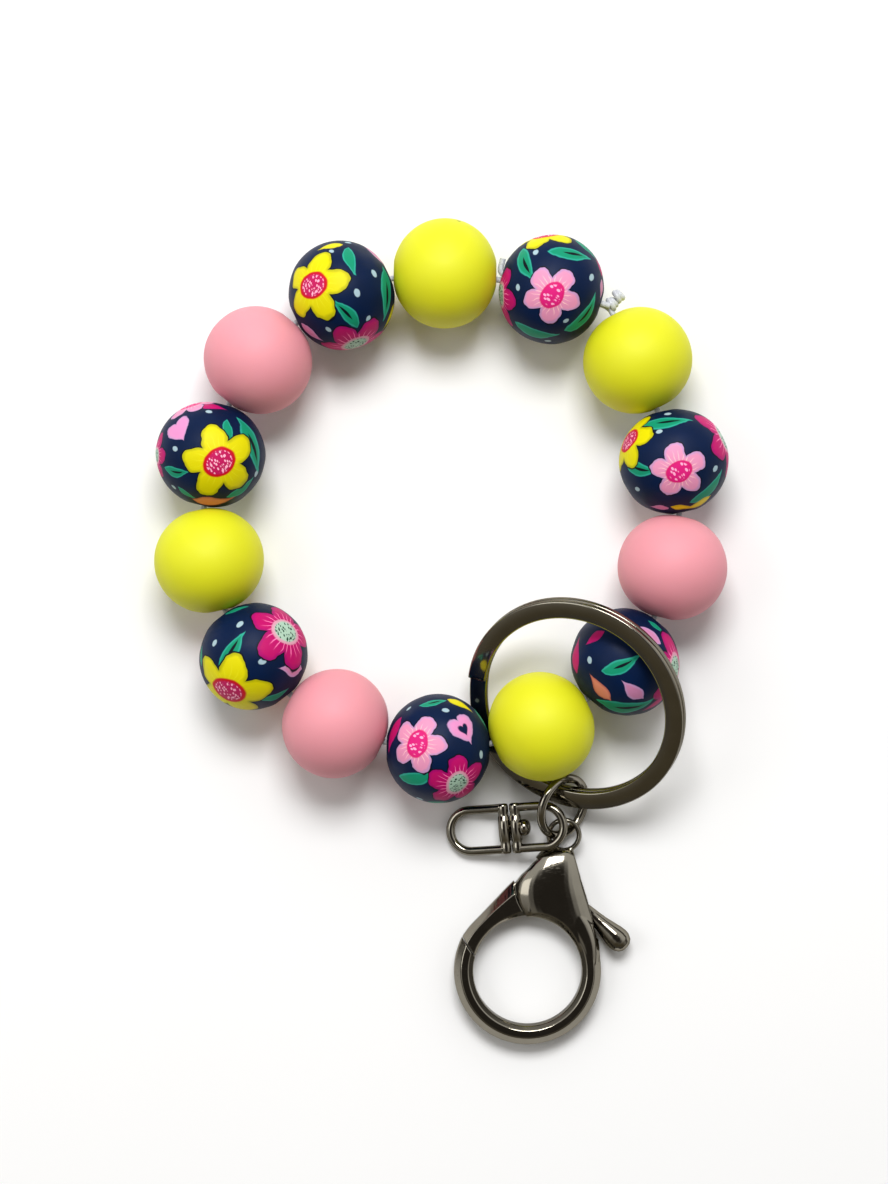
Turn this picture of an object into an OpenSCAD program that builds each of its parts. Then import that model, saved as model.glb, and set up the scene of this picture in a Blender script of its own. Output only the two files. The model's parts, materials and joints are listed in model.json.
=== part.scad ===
// Beaded wristlet keychain: fourteen round silicone beads on an elastic cord,
// a flat split ring through the beads, a jump ring, a riveted swivel and a lobster clasp.
// Millimetres. The chain lies flat on z = 0, the wrist loop at +Y, the clasp at -Y.

/* [Beads] */
// Diameter of a bead across its bore
bead_d = 15; // [14.6:0.1:15.2]
// Length of a bead along its bore
bead_len = 14.16; // [14:0.02:14.3]
// Diameter of the bore through a bead
bore_d = 2.5; // [2.4:0.1:3]
// Space left between neighbouring beads
bead_gap = 0.07; // [0.05:0.01:0.2]
// Turn of the whole bead loop about Z, clockwise
loop_turn = 0.85; // [0:0.05:2]

/* [Elastic cord] */
// Diameter of the elastic cord
cord_d = 0.8; // [0.6:0.1:0.8]
// Distance of the cord's corner at the knot from the middle of the loop
knot_corner_r = 36.1; // [35:0.1:36.5]

/* [Key ring] */
// Outer diameter of the split ring
ring_d = 31; // [30.8:0.1:31]
// Width of the ring's flat strip
ring_w = 2.5; // [2.4:0.1:2.6]
// Thickness of both turns of the strip together
ring_t = 1.8; // [1.6:0.1:1.8]
// Lean of the ring away from flat
ring_lean = 32.6; // [32:0.2:34]

/* [Jump ring] */
// Outer diameter of the jump ring
jump_d = 9.4; // [9.3:0.1:9.5]
// Diameter of the jump ring's wire
jump_wire = 1.2; // [1.1:0.1:1.2]

/* [Swivel] */
// Width of a swivel loop
swivel_w = 7; // [6.8:0.1:7.2]
// Diameter of the loops' wire
swivel_wire = 1.3; // [1.2:0.05:1.3]
// Reach of the loop that holds the jump ring
near_reach = 8.1; // [8:0.1:8.2]
// Reach of the free loop
far_reach = 9.1; // [8.6:0.1:9.4]

/* [Clasp] */
// Diameter of the clasp's round opening
opening_d = 15; // [14.6:0.1:15.2]
// Outer diameter of the hook
hook_d = 20.4; // [20:0.1:20.6]
// Thickness of the hook
hook_t = 3.6; // [3.4:0.1:3.8]
// Thickness of the clasp's body
body_t = 4.4; // [4.2:0.1:4.6]
// Thickness of the lever inside the body
lever_t = 1.8; // [1.6:0.1:1.8]

/* [Hidden] */
$fn = 96;
bead_count = 14;
bead_names = [
    "bead_01_yellow", "bead_02_print", "bead_03_yellow", "bead_04_print", "bead_05_pink",
    "bead_06_print", "bead_07_yellow", "bead_08_print", "bead_09_pink", "bead_10_print",
    "bead_11_yellow", "bead_12_print", "bead_13_pink", "bead_14_print"
];
hardware_names = [
    "elastic_cord", "elastic_knot", "cord_tail", "key_ring", "jump_ring", "swivel_near_loop",
    "swivel_rivet", "swivel_far_loop", "clasp_body", "clasp_lever", "lever_pin", "lever_spring"
];

yellow = [0.85, 0.86, 0.15];
pink = [0.83, 0.52, 0.55];
navy = [0.03, 0.04, 0.2];
gunmetal = [0.3, 0.29, 0.27];
steel = [0.62, 0.62, 0.64];
cord_grey = [0.75, 0.74, 0.7];

// Middle of the loop of beads, set so that the whole object's box is centred on X = Y = 0
loop_centre = [0, 16.795, 0];

// Loop of beads: the cord runs round a polygon with a bead on each side
step = 360 / bead_count;
bead_r = bead_d / 2;
cap_r = bead_len / 2;
cap_shift = bead_r - cap_r;
half_pitch = cap_r + cap_shift * sin(step / 2) + bead_gap / 2;
loop_r = half_pitch / sin(step / 2);
corner_r = loop_r / cos(step / 2);
half_edge = loop_r * tan(step / 2);
knot_corner = 2;
cord_z = bead_r;

function around(turn, r) = [r * sin(turn), r * cos(turn), cord_z];
function corner_turn(i) = loop_turn + (i - 0.5) * step;
function corner(i) = around(corner_turn(i), i == knot_corner ? knot_corner_r : corner_r);
function unit(v) = v / norm(v);
function bead_axis(i) = unit(corner(i) - corner(i - 1));
function bead_centre(i) = i == knot_corner + 1 ?
    corner(i) - half_edge * bead_axis(i) : corner(i - 1) + half_edge * bead_axis(i);

module place() {
    translate(loop_centre) children();
}

// Turns a shape's own +Z to point along the level direction v
module lay_along(v) {
    rotate([0, 90, atan2(v.y, v.x)]) children();
}

// ---- Beads ----
lip = 0.25;

module bead_shape() {
    difference() {
        rotate_extrude() {
            intersection() {
                translate([cap_shift, 0]) circle(r = cap_r);
                translate([0, -cap_r]) square([bead_r, bead_len]);
            }
        }
        cylinder(h = 2 * bead_d, d = bore_d, center = true);
        for (side = [-1, 1]) {
            mirror([0, 0, side < 0 ? 1 : 0])
                translate([0, 0, cap_r - lip])
                    cylinder(h = 2 * lip, r1 = bore_d / 2, r2 = bore_d / 2 + 2 * lip);
        }
    }
}

module bead(i) {
    print = i % 2 == 0;
    pinks = [5, 9, 13];
    tint = print ? navy : len(search(i, pinks)) > 0 ? pink : yellow;
    color(tint) place() translate(bead_centre(i)) lay_along(bead_axis(i)) bead_shape();
}

// ---- Elastic cord ----
// The cord is stretched, so it lies against the side of each bore that faces the loop's middle
cord_inset = 0.75;
cord_bend_r = 2.4;
tail_bend_r = 0.8;
tail_rise = cord_d + 0.01;
tail_out = 2.1;
bend_steps = 3;
tube_sides = 10;

function flat(v) = [v.x, v.y, 0];
function heading(v) = atan2(v.y, v.x);
function outward(i) = unit(flat(around(corner_turn(i), 1)));
// How far a bend of radius r starts before the corner where the cord turns by an angle
function lead(r, turn) = r * tan(turn / 2);

// A level right-hand bend at a corner, between the headings a and b, as points on the arc
function bend(p, a, b, r) =
    let (turn = (a - b + 360) % 360, start = p - lead(r, turn) * [cos(a), sin(a), 0])
    [for (k = [0 : bend_steps]) let (h = a - k * turn / bend_steps)
        start + r * [sin(a) - sin(h), cos(h) - cos(a), 0]];
function wrap(i) = i > bead_count ? i - bead_count : i;
function cord_corner(i) =
    around(corner_turn(i), i == knot_corner ? knot_corner_r : corner_r - cord_inset);
function cord_heading(i) = heading(cord_corner(i) - cord_corner(i - 1));
function loop_bend(i) = bend(cord_corner(i), cord_heading(i), cord_heading(wrap(i + 1)), cord_bend_r);

// A round tube along a level route; a closed route joins its end to its start
module tube(route, d, closed) {
    n = len(route);
    last = closed ? n : n - 1;
    function next(i) = closed ? (i + 1) % n : min(i + 1, n - 1);
    function previous(i) = closed ? (i + n - 1) % n : max(i - 1, 0);
    tangents = [for (i = [0 : n - 1]) unit(route[next(i)] - route[previous(i)])];
    rings = [for (i = [0 : n - 1], k = [0 : tube_sides - 1])
        let (side = [-tangents[i].y, tangents[i].x, 0], a = k * 360 / tube_sides)
        route[i] + d / 2 * (cos(a) * side + sin(a) * [0, 0, 1])];
    walls = [for (i = [0 : last - 1], k = [0 : tube_sides - 1])
        let (j = (i + 1) % n, m = (k + 1) % tube_sides)
        [i * tube_sides + k, j * tube_sides + k, j * tube_sides + m, i * tube_sides + m]];
    caps = closed ? [] : [
        [for (k = [0 : tube_sides - 1]) k],
        [for (k = [tube_sides - 1 : -1 : 0]) (n - 1) * tube_sides + k]
    ];
    polyhedron(points = rings, faces = concat(walls, caps), convexity = 6);
}

// The closed loop of cord: a straight run through each bead and a bend at each corner
module elastic_cord() {
    color(cord_grey) place() tube([for (i = [1 : bead_count]) each loop_bend(i)], cord_d, true);
}

// The cord's trimmed tail, threaded from the knot back through the bead beside it
module cord_tail() {
    rise = [0, 0, tail_rise];
    along = -bead_axis(knot_corner);
    out = outward(knot_corner - 1);
    tail_corner = corner(knot_corner - 1) + rise;
    color(cord_grey) place() tube(concat(
        [corner(knot_corner) + rise],
        bend(tail_corner, heading(along), heading(out), tail_bend_r),
        [tail_corner + tail_out * out]
    ), cord_d, false);
}

knot_r = 37.3;
knot_wrap_r = 0.5;
knot_wrap_d = 0.9;
knot_pitch = 0.8;
knot_tail = 1;

// Three tight wraps of the cord, standing along the line that leaves the loop outward
module elastic_knot() {
    color(cord_grey) place() translate(around(corner_turn(knot_corner), knot_r)) {
        lay_along(outward(knot_corner)) {
            for (k = [-1 : 1]) {
                translate([0, 0, k * knot_pitch])
                    rotate_extrude($fn = 48) translate([knot_wrap_r, 0]) circle(d = knot_wrap_d, $fn = 24);
            }
            cylinder(h = 2 * (knot_pitch + knot_tail), d = cord_d, center = true, $fn = 32);
        }
    }
}

// ---- Key ring ----
ring_centre = [18.19, -26.31, 9.14];
ring_raised_side = 45.4;
split_at = 125;
ramp = 30;
split_slot = 1.6;
slot_inset = 0.4;
turn_gap = 0.06;

// Room for a cut through the ring, from angle a through a sweep, between two heights
module ring_cut(a, sweep, z0, z1) {
    rotate([0, 0, a])
        rotate_extrude(angle = sweep) translate([ring_d / 2 - 2 * ring_w, z0]) square([3 * ring_w, z1 - z0]);
}

// Two turns of flat strip, joined where one ramps into the other, with an open end on each face
module key_ring() {
    inner_r = ring_d / 2 - ring_w;
    start = split_at + ramp;
    color(gunmetal) place() translate(ring_centre) rotate([0, -ring_lean, ring_raised_side]) {
        difference() {
            rotate_extrude() translate([inner_r, -ring_t / 2]) square([ring_w, ring_t]);
            ring_cut(start, 360 - ramp, -turn_gap / 2, turn_gap / 2);
            ring_cut(split_at - split_slot - slot_inset, split_slot, 0, ring_t);
            ring_cut(start + slot_inset, split_slot, -ring_t, 0);
        }
    }
}

// ---- Jump ring ----
jump_centre = [16.74, -40.62, 3.5];
jump_turn = -22.5;
jump_lean = 44.9;
jump_cut_at = 60;
jump_cut = 1.5;

module jump_ring() {
    color(gunmetal) place() translate(jump_centre) rotate([0, jump_lean, jump_turn])
        rotate([0, 0, jump_cut_at]) rotate_extrude(angle = 360 - jump_cut)
            translate([(jump_d - jump_wire) / 2, 0]) circle(d = jump_wire, $fn = 48);
}

// ---- Swivel ----
swivel_seam = [9.48, -43.65, 2.68];
swivel_turn = 4.7;
swivel_lean = 13.8;
bar_t = 1.4;
bar_h = 2.2;
seam_gap = 0.16;
rivet_r = 0.7;
running_fit = 0.05;
near_head_r = 1.15;
near_head_t = 1.3;
far_head_r = 1.15;
far_head_t = 0.5;

module place_swivel() {
    place() translate(swivel_seam) rotate([0, -swivel_lean, swivel_turn]) children();
}

// A bent wire loop that reaches along +X from the seam, with a flat bar across its open end
module swivel_loop(reach, hole_r) {
    bow = (swivel_w - swivel_wire) / 2;
    bow_x = reach - swivel_w / 2;
    difference() {
        union() {
            for (side = [-1, 1]) {
                translate([seam_gap / 2, side * bow, 0])
                    rotate([0, 90, 0]) cylinder(h = bow_x - seam_gap / 2, d = swivel_wire, $fn = 48);
            }
            translate([bow_x, 0, 0]) rotate([0, 0, -90])
                rotate_extrude(angle = 180) translate([bow, 0]) circle(d = swivel_wire, $fn = 48);
            translate([seam_gap / 2, -bow, -swivel_wire / 2]) cube([bar_t, 2 * bow, swivel_wire]);
            translate([seam_gap / 2, 0, 0]) rotate([0, 90, 0]) cylinder(h = bar_t, d = bar_h);
        }
        rotate([0, 90, 0]) cylinder(h = 4 * bar_t, r = hole_r, center = true);
    }
}

module swivel_near_loop() {
    color(gunmetal) place_swivel() swivel_loop(near_reach, rivet_r);
}

module swivel_far_loop() {
    color(gunmetal) place_swivel() rotate([0, 0, 180]) swivel_loop(far_reach, rivet_r + running_fit);
}

// Headed pin along the swivel's axis: fast in the near loop, free in the far one
module swivel_rivet() {
    near_face = seam_gap / 2 + bar_t;
    far_face = near_face + seam_gap / 2;
    color(steel) place_swivel() rotate([0, 90, 0]) {
        translate([0, 0, -far_face]) cylinder(h = far_face + near_face, r = rivet_r);
        translate([0, 0, near_face]) cylinder(h = near_head_t, r = near_head_r);
        translate([0, 0, -far_face - far_head_t]) cylinder(h = far_head_t, r = far_head_r);
    }
}

// ---- Clasp: drawn about the middle of its opening, at half its thickness ----
clasp_centre = [11.86, -63.28, body_t / 2];
opening_r = opening_d / 2;
hook_r = hook_d / 2;
hook_half = hook_t / 2;
land_half = 1.2;
body_half = body_t / 2;
slot_gap = 0.1;
slot_half = lever_t / 2 + slot_gap;
eye = [5.05, 18.65];
eye_r = 2.85;
eye_hole_r = 2.1;
eye_half = 0.65;
pivot = [4.6, 12];
gate_r = 15.4;
tip_clear = 0.12;
gate_step_r = 6.8;
hub_r = 2.1;
pin_r = 0.6;
// Metal left over the pin's blind end
pin_cover = 0.5;

module place_clasp() {
    place() translate(clasp_centre) children();
}

// The opening with a chamfered rim on both faces
module opening_cut() {
    chamfer = body_half - land_half;
    cylinder(h = 4 * body_t, r = opening_r, center = true);
    for (side = [0, 1]) {
        mirror([0, 0, side]) translate([0, 0, land_half])
            cylinder(h = 2 * chamfer, r1 = opening_r, r2 = opening_r + 1.4 * chamfer);
    }
}

// Outline of the pear-shaped body, from the neck down its left edge to the hook's right limb
module body_outline() {
    polygon([
        [3.9, 16.9], [3.3, 15.9], [1.9, 14.8], [0.1, 13.4], [-1, 12], [-1.35, 10.8], [-1.2, 9.6],
        [-0.2, 7.6], [0, 5], [9, 0], [hook_r, 0], [10.15, 2.6], [9.75, 5.2], [9, 7.4], [8.1, 9.3],
        [7.2, 12], [6.4, 15], [6, 16.9]
    ]);
}

// Room inside the body for the lever: open towards the gate, the opening and the thumb piece
module slot_outline() {
    polygon([[-4, 4], [5.2, 4.4], [12, 4.4], [14, 12], [7.2, 14.3], [-4, 14.3]]);
}

module clasp_body() {
    color(gunmetal) place_clasp() {
        difference() {
            union() {
                rotate_extrude() polygon([
                    [opening_r - 1, -land_half], [opening_r + 0.6, -hook_half], [hook_r - 0.8, -hook_half],
                    [hook_r, -hook_half + 1], [hook_r, hook_half - 1], [hook_r - 0.8, hook_half],
                    [opening_r + 0.6, hook_half], [opening_r - 1, land_half]
                ]);
                translate([0, 0, -body_half]) linear_extrude(body_t) body_outline();
            }
            opening_cut();
            gate_room();
            translate([0, 0, -slot_half]) linear_extrude(2 * slot_half) slot_outline();
            translate([pivot.x, pivot.y, -body_t])
                cylinder(h = body_t + body_half - pin_cover, r = pin_r, $fn = 48);
        }
        difference() {
            translate([eye.x, eye.y, 0]) rotate_extrude()
                translate([(eye_r + eye_hole_r) / 2, 0]) eye_section();
            translate([eye.x, eye.y, 0]) cylinder(h = body_t, r = eye_hole_r, center = true);
        }
    }
}

// Section of the eye's ring
module eye_section() {
    w = eye_r - eye_hole_r;
    square([w, 2 * eye_half], center = true);
}

// Space that the gate swings in: from the hook's tip round to the body
module gate_room() {
    difference() {
        translate([pivot.x, pivot.y, -body_t]) cylinder(h = 2 * body_t, r = gate_r + tip_clear);
        translate([0, 0, -2 * body_t]) linear_extrude(4 * body_t) polygon([
            [3.9, 30], [-1.35, 12], [-1.35, 9.6], [-0.2, 7.6], [0, 5], [0, -20], [30, -20], [30, 30]
        ]);
        translate([-3, -20, -2 * body_t]) cube([40, 20, 4 * body_t]);
    }
}

// Outline of the gate, from its hub in the body to its seam with the hook's tip
module gate_outline() {
    intersection() {
        polygon([
            [4.6, 14], [2.2, 13.9], [-1.1, 12.4], [-4.8, 9], [-7.5, 5.9], [-9.4, 3.4],
            [-8.4, 0], [0, 0], [6, 9]
        ]);
        translate(pivot) circle(r = gate_r);
    }
}

// A plate as thick as the hook, thinned to lie inside the body wherever it is near the pivot
module clasp_lever() {
    color(gunmetal) place_clasp() {
        difference() {
            linear_extrude(hook_t, center = true) {
                gate_outline();
                translate(pivot) circle(r = hub_r);
                thumb_outline();
            }
            for (side = [0, 1]) {
                mirror([0, 0, side]) translate([0, 0, lever_t / 2]) linear_extrude(hook_t) thin_outline();
            }
            opening_cut();
            translate([pivot.x, pivot.y, 0])
                cylinder(h = body_t, r = pin_r + running_fit, center = true, $fn = 48);
            spring_pocket();
        }
    }
}

thumb_root = [7.2, 9];
thumb_end = [12.45, 4.3];
thumb_arm_w = 2.6;
thumb_pad_r = 1.65;

// A straight stretch of the lever's arm between two points
module bar(a, b) {
    way = b - a;
    translate(a) rotate(atan2(way.y, way.x))
        translate([0, -thumb_arm_w / 2]) square([norm(way), thumb_arm_w]);
}

// The arm out of the body's right side, with a round pad for the thumb
module thumb_outline() {
    bar(pivot, thumb_root);
    bar(thumb_root, thumb_end);
    translate(thumb_root) circle(d = thumb_arm_w);
    translate(thumb_end) circle(r = thumb_pad_r);
}

// Where the lever is thinner than the hook: round the pivot and along the arm as far as the pad
module thin_outline() {
    difference() {
        union() {
            translate(pivot) circle(r = gate_step_r);
            translate(thumb_root) square(2 * gate_step_r, center = true);
        }
        translate(thumb_end) circle(r = thumb_pad_r);
    }
}

module lever_pin() {
    color(steel) place_clasp() translate([pivot.x, pivot.y, -body_half])
        cylinder(h = body_t - pin_cover, r = pin_r, $fn = 48);
}

spring_wire = 0.26;
spring_r = 1.05;
spring_turns = 3;
spring_floor = -0.1;
spring_rise = 0.98 * spring_wire;
spring_play = 0.02;
upper_leg = 2.2;
lower_leg = 2.6;
lower_leg_at = 204;

// Pocket in the lever's hub for the spring, with two notches that let its legs stay put
module spring_pocket() {
    translate([pivot.x, pivot.y, spring_floor]) {
        cylinder(h = body_t, r = spring_r + spring_wire);
        rotate([0, 0, 5]) rotate_extrude(angle = 65) square([5, body_t]);
    }
    translate([pivot.x, pivot.y, spring_floor]) rotate([0, 0, 120])
        rotate_extrude(angle = 70) square([3.3, 3 * spring_wire]);
}

// Torsion spring round the pin: closed turns, one leg on the body's end wall, one in the lever
module lever_spring() {
    base = spring_floor + spring_wire / 2 + spring_play;
    top = base + (spring_turns - 1) * spring_rise;
    color(steel) place_clasp() translate([pivot.x, pivot.y, 0]) {
        for (k = [0 : spring_turns - 1]) {
            translate([0, 0, base + k * spring_rise])
                rotate_extrude($fn = 48) translate([spring_r, 0]) circle(d = spring_wire, $fn = 16);
        }
        translate([spring_r, 0, top])
            rotate([-90, 0, 0]) cylinder(h = upper_leg, d = spring_wire, $fn = 16);
        rotate([0, 0, lower_leg_at]) translate([0, -spring_r, base])
            rotate([0, 90, 0]) cylinder(h = lower_leg, d = spring_wire, $fn = 16);
    }
}

for (i = [1 : bead_count]) {
    bead(i);
}
elastic_cord();
elastic_knot();
cord_tail();
key_ring();
jump_ring();
swivel_near_loop();
swivel_rivet();
swivel_far_loop();
clasp_body();
clasp_lever();
lever_pin();
lever_spring();
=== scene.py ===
"""Beaded wristlet keychain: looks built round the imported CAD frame. Metres."""

import json
import math

import bmesh
import bpy
from mathutils import Matrix, Vector, noise


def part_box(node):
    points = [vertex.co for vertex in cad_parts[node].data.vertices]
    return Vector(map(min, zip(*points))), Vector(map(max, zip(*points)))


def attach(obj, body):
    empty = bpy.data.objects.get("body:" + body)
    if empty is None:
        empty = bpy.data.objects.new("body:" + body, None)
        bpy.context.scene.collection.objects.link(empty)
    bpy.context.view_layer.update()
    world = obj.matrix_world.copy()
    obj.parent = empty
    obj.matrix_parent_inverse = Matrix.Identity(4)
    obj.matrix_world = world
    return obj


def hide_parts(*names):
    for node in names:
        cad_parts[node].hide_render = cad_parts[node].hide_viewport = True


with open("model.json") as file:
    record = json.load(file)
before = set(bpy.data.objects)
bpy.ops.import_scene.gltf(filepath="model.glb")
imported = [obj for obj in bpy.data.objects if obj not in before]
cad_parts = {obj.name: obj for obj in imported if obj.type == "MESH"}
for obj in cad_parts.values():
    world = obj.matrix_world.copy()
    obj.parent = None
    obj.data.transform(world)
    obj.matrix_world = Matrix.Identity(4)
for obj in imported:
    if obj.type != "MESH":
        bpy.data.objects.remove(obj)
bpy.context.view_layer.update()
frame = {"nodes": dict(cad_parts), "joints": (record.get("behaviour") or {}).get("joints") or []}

MM = 0.001
UP = Vector((0, 0, 1))
BEAD_R = 7.5 * MM
LOOP_Y = 16.795 * MM  # middle of the loop of beads
joints = {j["child"]: j for j in frame["joints"]}
beads = sorted(name for name in frame["nodes"] if name.startswith("bead_"))


# ---- Shader helpers ----
class Net:
    """A node tree, with one short call for each kind of node."""

    def __init__(self, tree):
        self.tree = tree
        self.x = 0

    def node(self, kind, inputs=(), **settings):
        made = self.tree.nodes.new(kind)
        self.x += 180
        made.location = (self.x, 0)
        for key, value in settings.items():
            setattr(made, key, value)
        for key, value in dict(inputs).items():
            self.put(made.inputs[key], value)
        return made

    def put(self, socket, value):
        if isinstance(value, bpy.types.NodeSocket):
            self.tree.links.new(value, socket)
        elif value is not None:
            socket.default_value = value

    def math(self, operation, a, b=None, c=None):
        made = self.node("ShaderNodeMath", operation=operation)
        for socket, value in zip(made.inputs, (a, b, c)):
            self.put(socket, value)
        return made.outputs[0]

    def vector(self, operation, a, b=None):
        made = self.node("ShaderNodeVectorMath", operation=operation)
        for socket, value in zip(made.inputs, (a, b)):
            self.put(socket, value)
        return made.outputs["Value" if operation == "LENGTH" else "Vector"]

    def scaled(self, vector, factor):
        made = self.node("ShaderNodeVectorMath", {"Vector": vector, "Scale": factor}, operation="SCALE")
        return made.outputs["Vector"]

    def split(self, vector):
        return self.node("ShaderNodeSeparateXYZ", {"Vector": vector}).outputs

    def product(self, *factors):
        made = factors[0]
        for factor in factors[1:]:
            made = self.math("MULTIPLY", made, factor)
        return made

    def hypot(self, a, b):
        return self.math("SQRT", self.math("ADD", self.product(a, a), self.product(b, b)))

    def ramp(self, value, low, high, to_low=0.0, to_high=1.0):
        """A smooth step from to_low at low to to_high at high."""
        made = self.node("ShaderNodeMapRange", interpolation_type="SMOOTHSTEP")
        for key, number in (("Value", value), ("From Min", low), ("From Max", high),
                            ("To Min", to_low), ("To Max", to_high)):
            self.put(made.inputs[key], number)
        return made.outputs["Result"]

    def mix(self, share, a, b):
        made = self.node("ShaderNodeMix", data_type="RGBA")
        sockets = [s for s in made.inputs if s.type == "RGBA"]
        self.put(made.inputs[0], share)
        self.put(sockets[0], a)
        self.put(sockets[1], b)
        return [s for s in made.outputs if s.type == "RGBA"][0]

    def noise(self, vector, scale, detail=2.0, out="Fac"):
        made = self.node("ShaderNodeTexNoise", {"Vector": vector, "Scale": scale, "Detail": detail})
        return made.outputs[out]

    def cells(self, vector, scale):
        """Distance to the nearest of the points scattered over the surface."""
        return self.node("ShaderNodeTexVoronoi", {"Vector": vector, "Scale": scale}).outputs["Distance"]

    def specks(self, vector, scale, size):
        """1 inside small round spots scattered over the surface."""
        return self.ramp(self.cells(vector, scale), size, size * 1.3, 1.0, 0.0)

    def bump(self, height, strength, distance):
        made = self.node("ShaderNodeBump", {"Height": height, "Strength": strength, "Distance": distance})
        return made.outputs["Normal"]


def rgb(r, g, b):
    """An sRGB colour as the linear one that a socket takes."""
    def linear(v):
        return v / 12.92 if v <= 0.04045 else ((v + 0.055) / 1.055) ** 2.4
    return (linear(r), linear(g), linear(b), 1.0)


def material(name):
    """A new material with its net, shader and object coordinates."""
    made = bpy.data.materials.new(name)
    made.use_nodes = True
    net = Net(made.node_tree)
    shader = made.node_tree.nodes["Principled BSDF"]
    where = net.node("ShaderNodeTexCoord").outputs["Object"]
    return made, net, shader, where


INK = rgb(0.0, 0.03, 0.10)


# ---- Print motifs: each group turns motif coordinates into a colour and its cover ----
def motif_group(name, colours):
    """An empty group with a vector in, colours in, and colour and cover out. It gives the tree, its net,
    the sockets to take colours from, the sockets to give results to, and the motif's own coordinates."""
    tree = bpy.data.node_groups.new(name, "ShaderNodeTree")
    face = tree.interface
    face.new_socket("Vector", in_out="INPUT", socket_type="NodeSocketVector")
    for colour in colours:
        face.new_socket(colour, in_out="INPUT", socket_type="NodeSocketColor")
    face.new_socket("Color", in_out="OUTPUT", socket_type="NodeSocketColor")
    face.new_socket("Cover", in_out="OUTPUT", socket_type="NodeSocketFloat")
    net = Net(tree)
    inputs = net.node("NodeGroupInput")
    outputs = net.node("NodeGroupOutput")
    # A waviness that grows outwards from the middle, so that each outline looks painted by hand
    place = inputs.outputs["Vector"]
    flat = (1.0, 1.0, 0.0)
    wobble = net.vector("SUBTRACT", net.noise(place, 1.7, out="Color"), (0.5, 0.5, 0.5))
    reach = net.vector("LENGTH", net.vector("MULTIPLY", place, flat))
    shift = net.scaled(wobble, net.product(reach, 0.34))
    wavy = net.vector("ADD", place, net.vector("MULTIPLY", shift, flat))
    return tree, net, inputs.outputs, outputs.inputs, wavy


def finish_motif(net, give, colour, cover, z):
    """Sends a motif's colour out, and its cover on the side of the bead that the motif faces."""
    net.put(give["Color"], colour)
    net.put(give["Cover"], net.product(cover, net.ramp(z, 0.0, 0.1)))


def flower_group(name, seed_scale):
    """Five rounded petals with streaks and a rim, round an oval speckled centre."""
    tree, net, take, give, wavy = motif_group(name, ["Petal", "Streak", "Rim", "Ring", "Heart", "Seed"])
    x, y, z = net.split(wavy)
    radius = net.hypot(x, y)
    turn = net.math("ARCTAN2", y, x)
    # Every petal is folded onto one, whose outline is an ellipse
    fold = net.math("PINGPONG", turn, math.pi / 5)
    along = net.product(radius, net.math("COSINE", fold))
    across = net.product(radius, net.math("SINE", fold))
    petal = net.hypot(net.math("DIVIDE", net.math("SUBTRACT", along, 0.6), 0.4),
                      net.math("DIVIDE", across, 0.355))
    cover = net.math("MAXIMUM", net.ramp(petal, 1.08, 1.14, 1.0, 0.0),
                     net.ramp(radius, 0.5, 0.56, 1.0, 0.0))
    rays = net.math("SINE", net.math("ADD", net.product(turn, 22.0),
                                     net.product(net.noise(wavy, 3.0), 6.0)))
    streak = net.product(net.ramp(rays, 0.75, 0.98), net.ramp(radius, 0.3, 0.4),
                         net.ramp(radius, 0.5, 0.78, 1.0, 0.0))
    colour = net.mix(streak, take["Petal"], take["Streak"])
    rim = net.product(net.ramp(petal, 0.74, 0.98), net.ramp(radius, 0.5, 0.62))
    colour = net.mix(rim, colour, take["Rim"])
    halo = net.product(net.ramp(petal, 1.0, 1.04), net.ramp(radius, 0.42, 0.46))
    colour = net.mix(halo, colour, INK)
    oval = net.hypot(net.math("DIVIDE", x, 0.48), net.math("DIVIDE", y, 0.38))
    colour = net.mix(net.ramp(oval, 0.96, 1.08, 1.0, 0.0), colour, take["Ring"])
    colour = net.mix(net.ramp(oval, 0.74, 0.9, 1.0, 0.0), colour, take["Heart"])
    seeds = net.cells(net.vector("MULTIPLY", wavy, (1.0, 0.62, 0.0)), seed_scale)
    seed = net.product(net.ramp(seeds, 0.32, 0.46, 1.0, 0.0), net.ramp(oval, 0.74, 0.84, 1.0, 0.0))
    colour = net.mix(seed, colour, take["Seed"])
    finish_motif(net, give, colour, cover, z)
    return tree


def leaf_group():
    """A pointed leaf along X with a dark slit."""
    tree, net, take, give, wavy = motif_group("leaf", ["Blade", "Edge", "Slit"])
    x, y, z = net.split(wavy)
    bowed = net.math("SUBTRACT", y, net.product(x, x, 0.16))
    taper = net.math("SUBTRACT", 1.0, net.product(x, x))
    lean = net.math("MAXIMUM", net.math("MULTIPLY_ADD", x, -0.35, 1.0), 0.05)
    depth = net.math("SUBTRACT", net.product(taper, 0.34, lean), net.math("ABSOLUTE", bowed))
    colour = net.mix(net.ramp(depth, 0.02, 0.12, 1.0, 0.0), take["Blade"], take["Edge"])
    slit_x = net.math("DIVIDE", net.math("SUBTRACT", x, 0.08), 0.5)
    slit_half = net.product(net.math("SUBTRACT", 1.0, net.product(slit_x, slit_x)), 0.075)
    slit_y = net.math("ABSOLUTE", net.math("SUBTRACT", bowed, 0.03))
    slit = net.ramp(net.math("SUBTRACT", slit_half, slit_y), -0.015, 0.02)
    finish_motif(net, give, net.mix(slit, colour, take["Slit"]), net.ramp(depth, -0.02, 0.03), z)
    return tree


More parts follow.
